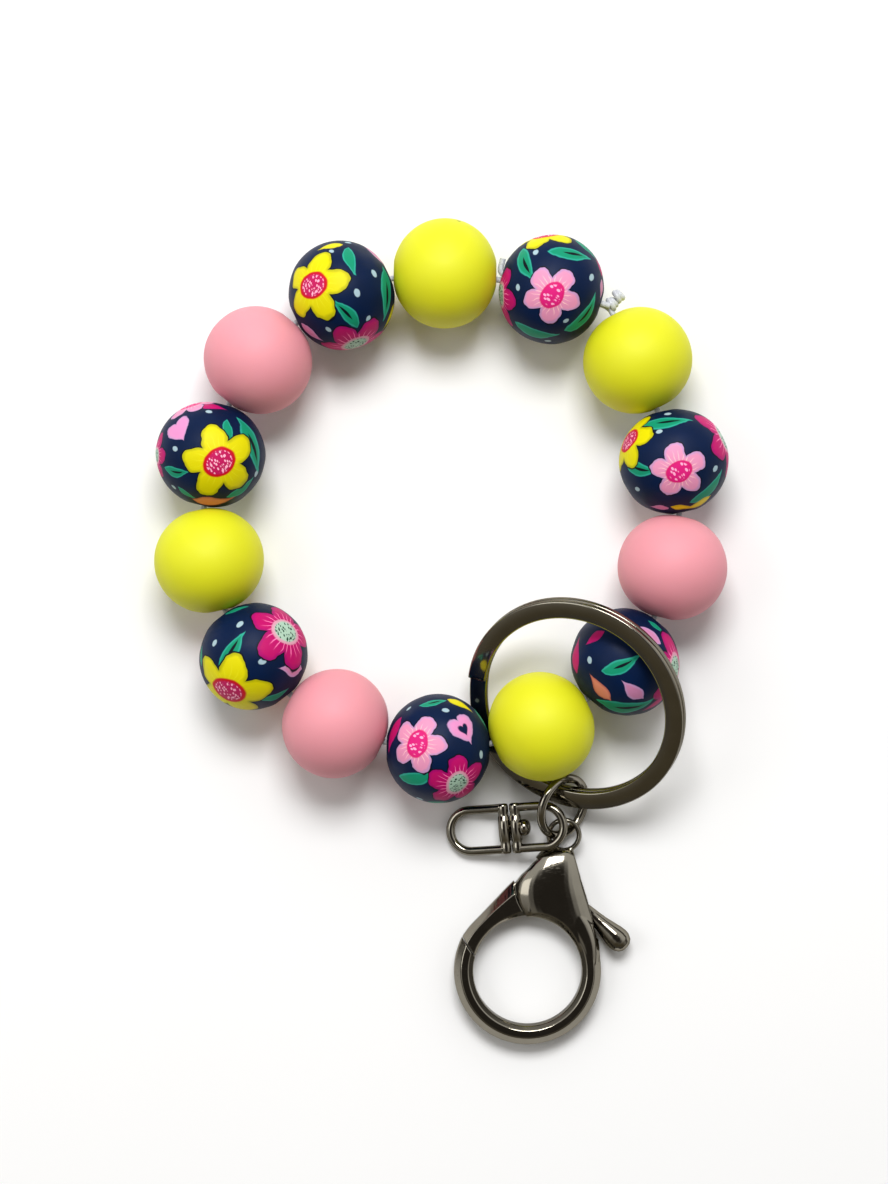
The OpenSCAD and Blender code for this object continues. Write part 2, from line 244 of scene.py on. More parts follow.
def petal_group():
    """A plump drop, pointed at one end."""
    tree, net, take, give, wavy = motif_group("petal", ["Body", "Edge"])
    x, y, z = net.split(wavy)
    taper = net.math("SUBTRACT", 1.0, net.product(x, x))
    swell = net.math("MAXIMUM", net.math("MULTIPLY_ADD", x, 0.75, 1.0), 0.05)
    depth = net.math("SUBTRACT", net.product(taper, 0.42, swell), net.math("ABSOLUTE", y))
    colour = net.mix(net.ramp(depth, 0.03, 0.2, 1.0, 0.0), take["Body"], take["Edge"])
    finish_motif(net, give, colour, net.ramp(depth, -0.02, 0.04), z)
    return tree


def heart_group(name, hole):
    """A heart with its point down -Y, solid or with a hole."""
    tree, net, take, give, wavy = motif_group(name, ["Body", "Edge"])
    x, y, z = net.split(wavy)
    lobes = net.math("SUBTRACT", net.math("MULTIPLY_ADD", y, 1.15, 0.12),
                     net.product(net.math("SQRT", net.math("ABSOLUTE", x)), 0.62))
    size = net.hypot(x, lobes)
    cover = net.ramp(size, 0.8, 0.88, 1.0, 0.0)
    if hole:
        cover = net.product(cover, net.ramp(size, 0.26, 0.36))
    finish_motif(net, give, net.mix(net.ramp(size, 0.6, 0.85), take["Body"], take["Edge"]), cover, z)
    return tree


def dot_group():
    """A small oval dot."""
    tree, net, take, give, wavy = motif_group("dot", ["Body"])
    x, y, z = net.split(wavy)
    size = net.hypot(x, net.product(y, 1.38))
    finish_motif(net, give, take["Body"], net.ramp(size, 0.66, 0.88, 1.0, 0.0), z)
    return tree


YELLOW = rgb(0.88, 0.84, 0.0)
MAGENTA = rgb(0.74, 0.04, 0.40)
ROSE = rgb(0.80, 0.52, 0.68)
GREEN = rgb(0.06, 0.56, 0.42)
MINT = rgb(0.68, 0.80, 0.72)
LILAC = rgb(0.76, 0.58, 0.76)
NAVY = rgb(0.0, 0.11, 0.28)
RED = rgb(0.80, 0.05, 0.12)

flower, dotted_flower = flower_group("flower", 16.0), flower_group("dotted_flower", 9.0)
leaf, petal, dot = leaf_group(), petal_group(), dot_group()
heart, heart_ring = heart_group("heart", False), heart_group("heart_ring", True)
# Each look is a group and its colours
LOOKS = {
    "yellow_flower": (flower, [YELLOW, rgb(0.90, 0.87, 0.10), rgb(0.74, 0.72, 0.02), RED,
                               rgb(0.76, 0.10, 0.36), rgb(1.0, 0.72, 0.82)]),
    "pink_flower": (dotted_flower, [rgb(0.90, 0.58, 0.72), rgb(1.0, 0.80, 0.80), LILAC,
                                    rgb(0.85, 0.12, 0.45), rgb(0.86, 0.12, 0.48), rgb(1.0, 0.70, 0.84)]),
    "magenta_flower": (flower, [MAGENTA, rgb(1.0, 0.50, 0.74), rgb(0.66, 0.02, 0.42), rgb(0.86, 0.62, 0.70),
                                MINT, rgb(0.05, 0.25, 0.18)]),
    "leaf": (leaf, [GREEN, rgb(0.18, 0.66, 0.58), INK]),
    "plain_leaf": (leaf, [GREEN, rgb(0.18, 0.66, 0.58), GREEN]),
    "pink_petal": (petal, [ROSE, LILAC]),
    "magenta_petal": (petal, [MAGENTA, rgb(0.70, 0.05, 0.42)]),
    "yellow_petal": (petal, [YELLOW, rgb(0.78, 0.72, 0.02)]),
    "coral_petal": (petal, [rgb(0.85, 0.52, 0.42), rgb(0.75, 0.42, 0.36)]),
    "heart": (heart, [rgb(0.90, 0.56, 0.76), LILAC]),
    "heart_ring": (heart_ring, [rgb(0.88, 0.56, 0.76), LILAC]),
    "dot": (dot, [rgb(0.64, 0.74, 0.78)]),
}

# Motifs of each printed bead: look, place across and up in bead radii, turn in degrees, size in bead radii
PRINTS = {
    "bead_14_print": [
        ("dot", 0.62, 0.33, 110, 0.10), ("dot", 0.31, -0.05, 110, 0.10), ("dot", 0.51, -0.49, 90, 0.08),
        ("dot", -0.22, -0.69, 120, 0.08), ("dot", -0.16, 0.73, 120, 0.07), ("dot", 0.13, 0.93, 0, 0.08),
        ("plain_leaf", 0.17, 0.58, -85, 0.34), ("leaf", 0.86, 0.0, -88, 0.52),
        ("leaf", 0.14, -0.41, 130, 0.36),
        ("magenta_flower", 0.27, -0.93, 90, 0.62), ("pink_petal", -0.55, -0.74, 140, 0.28),
        ("yellow_petal", -0.2, 0.84, 12, 0.24), ("pink_petal", 0.62, 0.76, -35, 0.3),
        ("yellow_flower", -0.5, 0.1, 5, 0.64), ("yellow_petal", 0.9, -0.42, 70, 0.28),
    ],
    "bead_12_print": [
        ("dot", -0.58, 0.07, 160, 0.08), ("dot", 0.86, -0.36, 80, 0.09), ("dot", -0.65, -0.62, 140, 0.07),
        ("dot", 0.0, -0.74, 0, 0.1), ("dot", 0.02, 0.76, -25, 0.08),
        ("plain_leaf", 0.38, 0.38, -85, 0.26), ("leaf", 0.80, 0.15, -57, 0.56),
        ("leaf", -0.58, -0.36, 5, 0.3),
        ("plain_leaf", 0.60, -0.67, 20, 0.32), ("plain_leaf", -0.42, -0.75, -50, 0.2),
        ("magenta_flower", -0.97, -0.02, 0, 0.42), ("magenta_petal", 0.07, 0.88, 160, 0.3),
        ("pink_flower", -0.36, 0.91, 20, 0.44), ("coral_petal", 0.1, -0.9, 175, 0.4),
        ("heart", -0.52, 0.40, 28, 0.30), ("yellow_flower", 0.24, -0.18, 30, 0.66),
    ],
    "bead_02_print": [
        ("dot", -0.31, 0.6, 100, 0.09), ("dot", -0.64, -0.04, 100, 0.08), ("dot", 0.71, 0.15, 40, 0.1),
        ("dot", 0.24, -0.64, 30, 0.07), ("dot", -0.07, -0.97, 0, 0.08),
        ("leaf", 0.34, 0.56, 5, 0.42), ("leaf", -0.52, 0.38, -60, 0.42), ("leaf", 0.6, -0.56, 55, 0.45),
        ("plain_leaf", -0.3, -0.85, -5, 0.42), ("plain_leaf", 0.62, 0.72, -45, 0.26),
        ("magenta_flower", -0.97, -0.12, 20, 0.56), ("magenta_petal", 0.88, 0.4, -70, 0.2),
        ("pink_petal", 0.93, -0.04, 80, 0.2), ("yellow_flower", -0.1, 0.98, 75, 0.56),
        ("pink_flower", -0.02, -0.2, 52, 0.52),
    ],
    "bead_04_print": [
        ("dot", -0.15, 0.88, 0, 0.09), ("dot", -0.33, 0.52, 0, 0.08), ("dot", 0.7, -0.16, 30, 0.09),
        ("dot", -0.7, -0.52, 30, 0.08), ("leaf", -0.2, 0.7, -4, 0.46), ("leaf", -0.68, -0.18, -4, 0.38),
        ("plain_leaf", 0.62, -0.55, 40, 0.42), ("yellow_petal", 0.12, -0.88, 160, 0.22),
        ("yellow_petal", 0.42, -0.82, 30, 0.3), ("pink_petal", -0.31, -0.88, 40, 0.2),
        ("magenta_flower", 0.88, 0.44, 40, 0.66), ("yellow_flower", -0.86, 0.38, -15, 0.58),
        ("pink_flower", 0.02, -0.22, 30, 0.5),
    ],
    "bead_10_print": [
        ("dot", -0.2, 0.6, 60, 0.1), ("dot", -0.67, 0.26, 60, 0.09), ("dot", 0.22, -0.07, 15, 0.1),
        ("leaf", -0.33, 0.12, 52, 0.4), ("plain_leaf", -0.3, 0.88, 10, 0.24),
        ("plain_leaf", -0.95, 0.02, 90, 0.2), ("plain_leaf", 0.45, -0.74, 0, 0.3),
        ("pink_petal", 0.74, -0.22, -12, 0.32),
        ("magenta_flower", 0.64, 0.47, 18, 0.66), ("yellow_flower", -0.42, -0.62, 10, 0.72),
    ],
    "bead_08_print": [
        ("dot", 0.14, 0.73, 0, 0.09), ("dot", -0.54, 0.76, 35, 0.07), ("dot", 0.8, -0.08, 110, 0.1),
        ("dot", -0.33, -0.9, -30, 0.09), ("plain_leaf", -0.38, -0.52, 22, 0.4),
        ("leaf", -0.08, 0.86, 30, 0.26),
        ("plain_leaf", 0.84, 0.55, -45, 0.26), ("plain_leaf", 0.0, -0.97, 0, 0.2),
        ("yellow_petal", 0.42, 0.83, 155, 0.28), ("magenta_petal", -0.86, 0.28, 65, 0.36),
        ("pink_flower", -0.38, 0.14, 68, 0.52), ("heart_ring", 0.48, 0.38, 32, 0.33),
        ("magenta_flower", 0.36, -0.6, 100, 0.56),
    ],
    "bead_06_print": [
        ("dot", -0.69, 0.05, 110, 0.09), ("dot", -0.13, 0.82, -10, 0.09), ("leaf", -0.12, -0.06, 22, 0.38),
        ("coral_petal", -0.53, -0.46, -55, 0.32), ("pink_petal", 0.08, -0.5, -48, 0.3),
        ("pink_petal", 0.3, 0.55, -25, 0.36), ("plain_leaf", 0.56, 0.66, -30, 0.2),
        ("magenta_flower", 0.9, -0.12, 110, 0.66), ("magenta_petal", -0.93, 0.15, -80, 0.34),
        ("magenta_petal", -0.6, 0.45, 20, 0.22), ("magenta_petal", 0.5, -0.78, 40, 0.24),
        ("leaf", -0.02, -0.84, 12, 0.55),
    ],
}


def motif_turn(across, up, turn, back):
    """The rotation that brings a motif's place on the bead to +Z and its own X to the given turn."""
    out = math.hypot(across, up)
    if out > 0.995:
        across, up, out = across * 0.995 / out, up * 0.995 / out, 0.995
    normal = Vector((across, up, math.sqrt(1 - out * out)))
    if back:
        normal = Vector((-normal.x, normal.y, -normal.z))
    heading = Vector((math.cos(math.radians(turn)), math.sin(math.radians(turn)), 0.0))
    heading = (heading - normal * heading.dot(normal)).normalized()
    side = normal.cross(heading)
    return Matrix((heading, side, normal)).to_euler("XYZ")


def silicone_print(name, motifs):
    """Navy silicone with its print laid on motif by motif, repeated turned over on the back."""
    made, net, shader, where = material(name)
    unit = net.vector("NORMALIZE", where)
    colour = net.mix(net.noise(unit, 1.3), NAVY, rgb(0.0, 0.07, 0.17))
    for back in (True, False):
        for look, across, up, turn, size in motifs:
            # A large motif at the rim already reaches round to the back
            if back and size > 0.3 and math.hypot(across, up) > 0.8:
                continue
            group, colours = LOOKS[look]
            place = net.node("ShaderNodeMapping", {"Vector": unit}, vector_type="POINT")
            place.inputs["Rotation"].default_value = motif_turn(across, up, turn, back)
            local = net.scaled(place.outputs["Vector"], 1.0 / size)
            drawn = net.node("ShaderNodeGroup", node_tree=group)
            net.put(drawn.inputs["Vector"], local)
            for socket, shade in zip(list(drawn.inputs)[1:], colours):
                socket.default_value = shade
            colour = net.mix(drawn.outputs["Cover"], colour, drawn.outputs["Color"])
    net.put(shader.inputs["Base Color"], colour)
    shader.inputs["Subsurface Weight"].default_value = 0.08
    shader.inputs["Subsurface Radius"].default_value = (0.6, 0.4, 0.4)
    shader.inputs["Subsurface Scale"].default_value = 0.5 * MM
    shader.inputs["Specular IOR Level"].default_value = 0.14
    net.put(shader.inputs["Roughness"], net.math("MULTIPLY_ADD", net.noise(where, 900.0, 3.0), 0.16, 0.42))
    net.put(shader.inputs["Normal"], net.bump(net.noise(where, 5200.0, 3.0), 0.25, 0.02 * MM))
    return made


def silicone(name, base, deep, index):
    """Matte one-colour silicone with faint clouding, fine grain and a few dark specks of dust."""
    made, net, shader, where = material(name)
    # Each bead takes its own part of the pattern
    where = net.vector("ADD", where, (0.031 * index, 0.017 * index, 0.0))
    colour = net.mix(net.noise(where, 160.0, 4.0), base, deep)
    dust = net.specks(where, 210.0, 0.055)
    keep = net.ramp(net.noise(where, 95.0), 0.60, 0.64)
    colour = net.mix(net.product(dust, keep, 0.75), colour, rgb(0.30, 0.24, 0.12))
    net.put(shader.inputs["Base Color"], colour)
    shader.inputs["Subsurface Weight"].default_value = 0.12
    shader.inputs["Subsurface Radius"].default_value = (1.0, 0.6, 0.35)
    shader.inputs["Subsurface Scale"].default_value = 1.2 * MM
    shader.inputs["Specular IOR Level"].default_value = 0.35
    net.put(shader.inputs["Roughness"], net.math("MULTIPLY_ADD", net.noise(where, 700.0, 3.0), 0.14, 0.50))
    grain = net.math("ADD", net.noise(where, 6000.0, 3.0), net.product(dust, -0.5))
    net.put(shader.inputs["Normal"], net.bump(grain, 0.3, 0.02 * MM))
    return made


def plated(name, tone, rough, speckle):
    """Polished dark nickel plating with haze, hairline scratches and small cast pits."""
    made, net, shader, where = material(name)
    haze = net.noise(where, 420.0, 4.0)
    net.put(shader.inputs["Base Color"], net.mix(haze, tone, rgb(0.58, 0.56, 0.51)))
    shader.inputs["Metallic"].default_value = 1.0
    shader.inputs["Specular Tint"].default_value = (0.30, 0.29, 0.27, 1.0)
    stretched = net.vector("MULTIPLY", where, (1.0, 12.0, 1.0))
    hairline = net.ramp(net.noise(stretched, 900.0), 0.62, 0.70)
    net.put(shader.inputs["Roughness"], net.math("ADD", net.math("MULTIPLY_ADD", haze, 0.07, rough),
                                                 net.product(hairline, 0.10)))
    pits = net.specks(where, 1500.0, 0.16)
    height = net.math("SUBTRACT", net.product(net.noise(where, 260.0), speckle),
                      net.product(pits, 0.15 * speckle))
    net.put(shader.inputs["Normal"], net.bump(height, 0.5, 0.03 * MM))
    return made


def elastic(name, clear):
    """Shiny translucent grey elastic with fine lengthwise fibres."""
    made, net, shader, where = material(name)
    fibre = net.noise(net.vector("MULTIPLY", where, (1.0, 1.0, 3.0)), 4200.0, 3.0)
    net.put(shader.inputs["Base Color"], net.mix(fibre, rgb(0.68, 0.70, 0.74), rgb(0.95, 0.96, 0.97)))
    shader.inputs["Transmission Weight"].default_value = clear
    shader.inputs["IOR"].default_value = 1.45
    net.put(shader.inputs["Roughness"], net.math("MULTIPLY_ADD", fibre, 0.2, 0.18))
    net.put(shader.inputs["Normal"], net.bump(fibre, 0.4, 0.04 * MM))
    return made


SOLID = {"yellow": (rgb(0.875, 0.875, 0.12), rgb(0.855, 0.855, 0.08)),
         "pink": (rgb(0.91, 0.60, 0.64), rgb(0.89, 0.58, 0.62))}
gunmetal = plated("gunmetal_plating", rgb(0.52, 0.50, 0.455), 0.06, 0.35)
bright_steel = plated("drawn_steel", rgb(0.70, 0.70, 0.70), 0.16, 0.2)
cord_skin = elastic("elastic_fibre", 0.12)


# ---- Mesh helpers ----
def linked(name, data):
    """A new object in the scene."""
    made = bpy.data.objects.new(name, data)
    bpy.context.scene.collection.objects.link(made)
    return made


def add_piece(name, mesh, skin, body, replaces=(), at=(0, 0, 0)):
    """A visible piece that rides on a body and, if told, stands in for CAD nodes."""
    piece = linked(name, mesh)
    piece.location = at
    mesh.materials.clear()
    mesh.materials.append(skin)
    for face in mesh.polygons:
        face.use_smooth = True
    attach(piece, body)
    if replaces:
        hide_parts(*replaces)


def outward(mesh):
    """The same mesh with every face looking out."""
    work = bmesh.new()
    work.from_mesh(mesh)
    bmesh.ops.recalc_face_normals(work, faces=work.faces)
    work.to_mesh(mesh)
    work.free()
    return mesh


def loft(name, rows):
    """A mesh through rows of points, capped at both ends."""
    count = len(rows[0])
    last = (len(rows) - 1) * count
    faces = [tuple(reversed(range(count))), tuple(range(last, last + count))]
    for start in range(0, last, count):
        for k in range(count):
            m = (k + 1) % count
            faces.append((start + k, start + m, start + count + m, start + count + k))
    mesh = bpy.data.meshes.new(name)
    mesh.from_pydata([point for row in rows for point in row], [], faces)
    return outward(mesh)


def millimetres(profile):
    return [(r * MM, h * MM) for r, h in profile]


def lathe(name, profile, axis, steps=96, centre=Vector(), closed=False):
    """A mesh turned about an axis through centre from (radius, height) points, closed from last to first
    if told."""
    turn = UP.rotation_difference(axis).to_matrix()
    verts, faces = [], []
    for r, h in profile:
        for k in range(steps):
            a = 2 * math.pi * k / steps
            verts.append(centre + turn @ Vector((r * math.cos(a), r * math.sin(a), h)))
    rows = len(profile) if closed else len(profile) - 1
    for i in range(rows):
        j = (i + 1) % len(profile)
        for k in range(steps):
            m = (k + 1) % steps
            faces.append((i * steps + k, i * steps + m, j * steps + m, j * steps + k))
    mesh = bpy.data.meshes.new(name)
    mesh.from_pydata(verts, [], faces)
    return mesh


def sweep(name, route, section):
    """A mesh of one section carried along a route; section points are (side, up) and route items
    are (point, side vector, up vector)."""
    rows = [[point + side * s + rise * u for s, u in section] for point, side, rise in route]
    return loft(name, rows)


# ---- Beads ----
CAP_R = 7.08 * MM
CAP_SHIFT = BEAD_R - CAP_R
BORE_R = 1.25 * MM
LIP_R = 0.35 * MM


def bead_profile():
    """(radius, height) points from one end of the bore over the crown to the other, and back through it."""
    mouth = BORE_R + LIP_R
    start = math.asin((mouth - CAP_SHIFT) / CAP_R)
    crown = [(CAP_SHIFT + CAP_R * math.sin(a), CAP_R * math.cos(a))
             for a in (start + (math.pi - 2 * start) * k / 64 for k in range(65))]
    top = crown[0][1]
    lip = [(mouth - LIP_R * math.sin(t), top - LIP_R * (1 - math.cos(t)))
           for t in (math.pi / 2 * k / 6 for k in range(1, 7))]
    down = [(BORE_R, top - LIP_R - 2 * (top - LIP_R) * k / 10) for k in range(1, 10)]
    mirrored_lip = [(r, -h) for r, h in lip]
    return crown + mirrored_lip + down[::-1] + lip[::-1]


def box_centre(node):
    low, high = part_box(node)
    return (low + high) / 2


def bead_skin(name, axis, index, depth):
    """A bead with shallow moulding lumps, which fade out towards the bore."""
    mesh = lathe(name, bead_profile(), axis, closed=True)
    for vert in mesh.vertices:
        out = vert.co.normalized()
        lump = noise.noise(out * 1.6 + Vector((index * 7.3, 0, 0)))
        lump += 0.5 * noise.noise(out * 3.7 + Vector((0, index * 5.1, 0)))
        away = (vert.co - axis * vert.co.dot(axis)).length
        fade = min(1.0, max(0.0, (away - 1.7 * MM) / (1.5 * MM)))
        vert.co += out * (depth * min(0.0, lump - 0.25) * fade)
    return mesh


for index, node in enumerate(beads):
    body, tint = node.rsplit("_", 1)
    if tint == "print":
        skin, slot, depth = silicone_print(node + "_paint", PRINTS[node]), "printed_silicone", 0.12 * MM
    else:
        skin, slot, depth = silicone(node + "_silicone", *SOLID[tint], index), tint + "_silicone", 0.04 * MM
    mesh = bead_skin(node + "_skin", Vector(joints[body]["axis"]), index, depth)
    add_piece(node + "_skin", mesh, skin, body, [node], box_centre(node))


# ---- Split ring ----
def disc_frame(lean, turn):
    """Axes of a part turned as the CAD does it: leaned about Y, then turned about Z."""
    return Matrix.Rotation(math.radians(turn), 3, "Z") @ Matrix.Rotation(math.radians(lean), 3, "Y")


def rounded(width, height, r):
    """Points of a rounded rectangle's outline."""
    steps = 3
    points = []
    for cx, cy, start in ((1, 1, 0), (-1, 1, 90), (-1, -1, 180), (1, -1, 270)):
        for k in range(steps + 1):
            a = math.radians(start + 90 * k / steps)
            points.append((cx * (width / 2 - r) + r * math.cos(a), cy * (height / 2 - r) + r * math.sin(a)))
    return points


RING_R, RING_W, RING_T = 15.5 * MM, 2.5 * MM, 1.8 * MM
# Space left between each turn of the strip and the middle of the ring
RING_GAP = 0.03 * MM
# Where the strip starts, how far it runs, and the ramp between its two turns, in degrees
STRIP_START, STRIP_RUN, RAMP_START, RAMP_RUN = 157.0, 686.6, 485.0, 30.0
STRIP_STEPS = 344
ring_centre = box_centre("key_ring")
ring_axes = disc_frame(-32.6, 45.4)
strip_t = RING_T / 2 - RING_GAP


def ring_height(angle):
    """Height of the strip's middle: on the lower turn, then up a ramp to the upper one."""
    share = min(max((angle - RAMP_START) / RAMP_RUN, 0), 1)
    return (strip_t / 2 + RING_GAP) * (2 * (share * share * (3 - 2 * share)) - 1)


def ring_route():
    for k in range(STRIP_STEPS + 1):
        angle = STRIP_START + STRIP_RUN * k / STRIP_STEPS
        a = math.radians(angle)
        out = Vector((math.cos(a), math.sin(a), 0))
        point = out * (RING_R - RING_W / 2) + Vector((0, 0, ring_height(angle)))
        yield ring_centre + ring_axes @ point, ring_axes @ out, ring_axes @ Vector((0, 0, 1))


ring_mesh = sweep("split_ring", ring_route(), rounded(RING_W, strip_t, 0.24 * MM))
add_piece("split_ring", ring_mesh, gunmetal, "key_ring", ["key_ring"])


# ---- Round wire parts ----
def wire(name, points, d, sides=20):
    """A round wire through points, with its section turned as little as possible."""
    route = []
    side = (points[1] - points[0]).orthogonal()
    for before, point, after in zip(points[:1] + points, points, points[1:] + points[-1:]):
        along = (after - before).normalized()
        side = (side - along * side.dot(along)).normalized()
        route.append((point, side, along.cross(side)))
    section = [(d / 2 * math.cos(2 * math.pi * k / sides), d / 2 * math.sin(2 * math.pi * k / sides))
               for k in range(sides)]
    return sweep(name, route, section)


JUMP_R, JUMP_WIRE = 4.1 * MM, 1.2 * MM
# Where the wire's two ends meet, and the gap between them, in degrees
BUTT_AT, BUTT_GAP = 60.0, 1.5
jump_centre = box_centre("jump_ring")
jump_axes = disc_frame(44.9, -22.5)
jump_points = [jump_centre + jump_axes @ Vector((JUMP_R * math.cos(a), JUMP_R * math.sin(a), 0))
               for a in (math.radians(BUTT_AT + (360 - BUTT_GAP) * k / 120) for k in range(121))]
add_piece("jump_ring_wire", wire("jump_ring_wire", jump_points, JUMP_WIRE), gunmetal, "jump_ring",
          ["jump_ring"])

# ---- Swivel ----
seam = Vector(joints["swivel_end"]["pos_m"])
swivel_axes = disc_frame(-13.8, 4.7)
BOW, WIRE = 2.85 * MM, 1.2 * MM


def swivel_loop(name, reach, side, body, node):
    """A bent wire with a barrel across its open end, on one side of the seam."""
    bow_x = reach - BOW - WIRE / 2
    start = 0.75 * MM
    legs = [(start + (bow_x - start) * k / 8, -BOW, 0) for k in range(8)]
    turns = [math.pi * k / 40 for k in range(41)]
    arc = [(bow_x + BOW * math.sin(a), -BOW * math.cos(a), 0) for a in turns]
    outline = legs + arc + [(x, -y, z) for x, y, z in reversed(legs)]
    points = [seam + swivel_axes @ Vector((side * x, y, z)) for x, y, z in outline]
    add_piece(name + "_wire", wire(name + "_wire", points, WIRE), gunmetal, body, [node])
    half = BOW / MM + 0.62
    lower = [(0.02, -half), (0.44, -half), (0.6, -half + 0.1), (0.67, -half + 0.35), (0.68, -2.4),
             (0.6, -2.1), (0.6, -1.9), (0.7, -1.6), (0.72, -0.9)]
    profile = lower + [(0.72, 0)] + [(r, -h) for r, h in reversed(lower)]
    barrel = lathe(name + "_barrel", millimetres(profile), UP, 48)
    for vert in barrel.vertices:
        x, y, z = vert.co
        swell = 1 + 0.45 * max(0.0, 1 - (z / (1.6 * MM)) ** 2)
        vert.co = seam + swivel_axes @ Vector((side * (0.83 * MM + x * 1.12), z, y * swell))
    add_piece(name + "_barrel", barrel, gunmetal, body, ())


swivel_loop("near_loop", 8.1 * MM, 1, "swivel", "swivel_near_loop")
swivel_loop("far_loop", 9.1 * MM, -1, "swivel_end", "swivel_far_loop")

rivet_profile = [(0.02, -0.1), (0.68, -0.1), (0.68, 1.5), (0.8, 1.52), (1.05, 1.62), (1.15, 1.85),
                 (1.14, 2.2), (1.0, 2.5), (0.72, 2.72), (0.35, 2.84), (0.02, 2.86)]
rivet = lathe("rivet_head", millimetres(rivet_profile), swivel_axes @ Vector((1, 0, 0)), 48, seam)
add_piece("rivet_head", rivet, gunmetal, "swivel", ["swivel_rivet"])


# ---- Clasp ----
# The lever's pivot, seen from the middle of the clasp's opening
PIVOT = Vector((4.6, 12.0)) * MM
clasp_centre = Vector(joints["lever"]["pos_m"]) - Vector((PIVOT.x, PIVOT.y, 0))


def eased(stations):
    """More stations between the given ones, along a smooth curve through them."""
    steps = 4
    rows = [(*left, *right, half) for left, right, half in stations]
    made = []
    for before, here, there, after in zip(rows[:1] + rows, rows, rows[1:], rows[2:] + rows[-1:]):
        for k in range(steps):
            t = k / steps
            made.append([0.5 * (2 * b + (c - a) * t + (2 * a - 5 * b + 4 * c - d) * t * t
                                + (3 * b - a - 3 * c + d) * t ** 3)
                         for a, b, c, d in zip(before, here, there, after)])
    return [(row[0:2], row[2:4], row[4]) for row in made + rows[-1:]]


def shell(stations, count, power):
    """A closed shell lofted over stations of (left, right, half height), in clasp millimetres."""
    rows = []
    for left, right, half in eased(stations):
        a, b = Vector((*left, 0)) * MM, Vector((*right, 0)) * MM
        middle, reach = (a + b) / 2, (b - a) / 2
        row = []
        for k in range(count):
            t = 2 * math.pi * k / count
            c, s = (math.copysign(abs(v) ** (2 / power), v) for v in (math.cos(t), math.sin(t)))
            row.append(middle + reach * c + UP * (half * MM * s))
        rows.append(row)
    return loft("shell", rows)


def facet_limb(start, end, steps, section):
    """A limb round the opening with a faceted section of (radius, height) points."""
    angles = [math.radians(start + (end - start) * k / steps) for k in range(steps + 1)]
    rows = [[Vector((r * math.cos(a), r * math.sin(a), h)) * MM for r, h in section] for a in angles]
    return loft("limb", rows)


def plate(outline, low, high):
    """A flat plate with an outline in clasp millimetres."""
    return loft("plate", [[Vector((x, y, z)) * MM for x, y in outline] for z in (low, high)])


def evaluated(made):
    """The object's mesh with its modifiers applied; the object itself goes."""
    bpy.context.view_layer.update()
    graph = bpy.context.evaluated_depsgraph_get()
    mesh = bpy.data.meshes.new_from_object(made.evaluated_get(graph))
    bpy.data.objects.remove(made)
    return mesh


def cut(mesh, cutters, operation="DIFFERENCE"):
    """The mesh less the cutters, or what it shares with them."""
    made = linked("cut", outward(mesh))
    tools = [linked("cutter", outward(cutter)) for cutter in cutters]
    for tool in tools:
        step = made.modifiers.new("cut", "BOOLEAN")
        step.operation = operation
        step.solver = "EXACT"
        step.object = tool
    mesh = evaluated(made)
    for tool in tools:
        bpy.data.objects.remove(tool)
    return mesh


def cast(name, meshes, voxel, smooth):
    """Fuses closed shells into one casting with soft inside corners."""
    work = bmesh.new()
    for mesh in meshes:
        work.from_mesh(outward(mesh))
    joined = bpy.data.meshes.new(name)
    work.to_mesh(joined)
    work.free()
    made = linked("casting", joined)
    fuse = made.modifiers.new("fuse", "REMESH")
    fuse.mode = "VOXEL"
    fuse.voxel_size = voxel
    soften = made.modifiers.new("soften", "SMOOTH")
    soften.factor = 0.5
    soften.iterations = smooth
    return evaluated(made)


VOXEL = 0.09 * MM
limb_section = [(7.5, -1.15), (8.2, -1.75), (9.15, -1.78), (10.15, -0.75), (10.15, 0.75), (9.15, 1.78),
                (8.2, 1.75), (7.5, 1.15)]
pod_stations = [
    ((2.3, 16.7), (6.4, 16.8), 0.7), ((1.6, 16.2), (6.8, 16.3), 1.15), ((0.8, 15.5), (7.2, 15.6), 1.5),
    ((-0.1, 14.5), (7.5, 14.6), 1.78), ((-0.9, 13.5), (7.8, 13.4), 1.98), ((-1.6, 12.3), (8.1, 12.2), 2.12),
    ((-1.9, 11.0), (8.5, 10.9), 2.19), ((-1.9, 9.8), (8.9, 9.6), 2.2), ((-1.6, 8.6), (9.3, 8.2), 2.18),
    ((-1.0, 7.6), (9.7, 6.8), 2.1), ((0.2, 6.6), (10.0, 5.3), 1.95), ((2.0, 5.6), (10.3, 3.8), 1.8),
    ((4.4, 4.4), (10.4, 2.2), 1.62), ((6.4, 3.0), (10.3, 0.4), 1.4)]
pod_outline = [
    (2.1, 16.7), (1.0, 15.4), (-0.2, 14.1), (-1.05, 12.8), (-1.4, 11.5), (-1.45, 10.4), (-1.25, 9.3),
    (-0.75, 8.3), (0.0, 7.2), (2.0, 0.6), (8.4, 0.2), (9.9, 0.9), (10.02, 1.9), (9.9, 3.4), (9.65, 5.2),
    (9.25, 7.0), (8.75, 8.6), (8.25, 10.2), (7.75, 11.6), (7.3, 13.0), (6.9, 14.4), (6.5, 15.9),
    (6.3, 16.7)]
limb_stations = [
    ((3.4, 10.4), (6.0, 10.0), 1.2), ((4.0, 8.6), (7.6, 8.6), 1.8), ((4.8, 6.7), (8.9, 7.0), 1.93),
    ((5.8, 5.0), (9.5, 5.6), 1.92), ((6.8, 3.4), (9.85, 3.9), 1.88), ((7.35, 1.8), (9.9, 2.1), 1.8),
    ((7.6, 0.2), (9.7, 0.2), 1.7), ((7.9, -1.6), (9.3, -1.8), 1.4), ((8.3, -3.0), (9.0, -3.2), 0.9)]
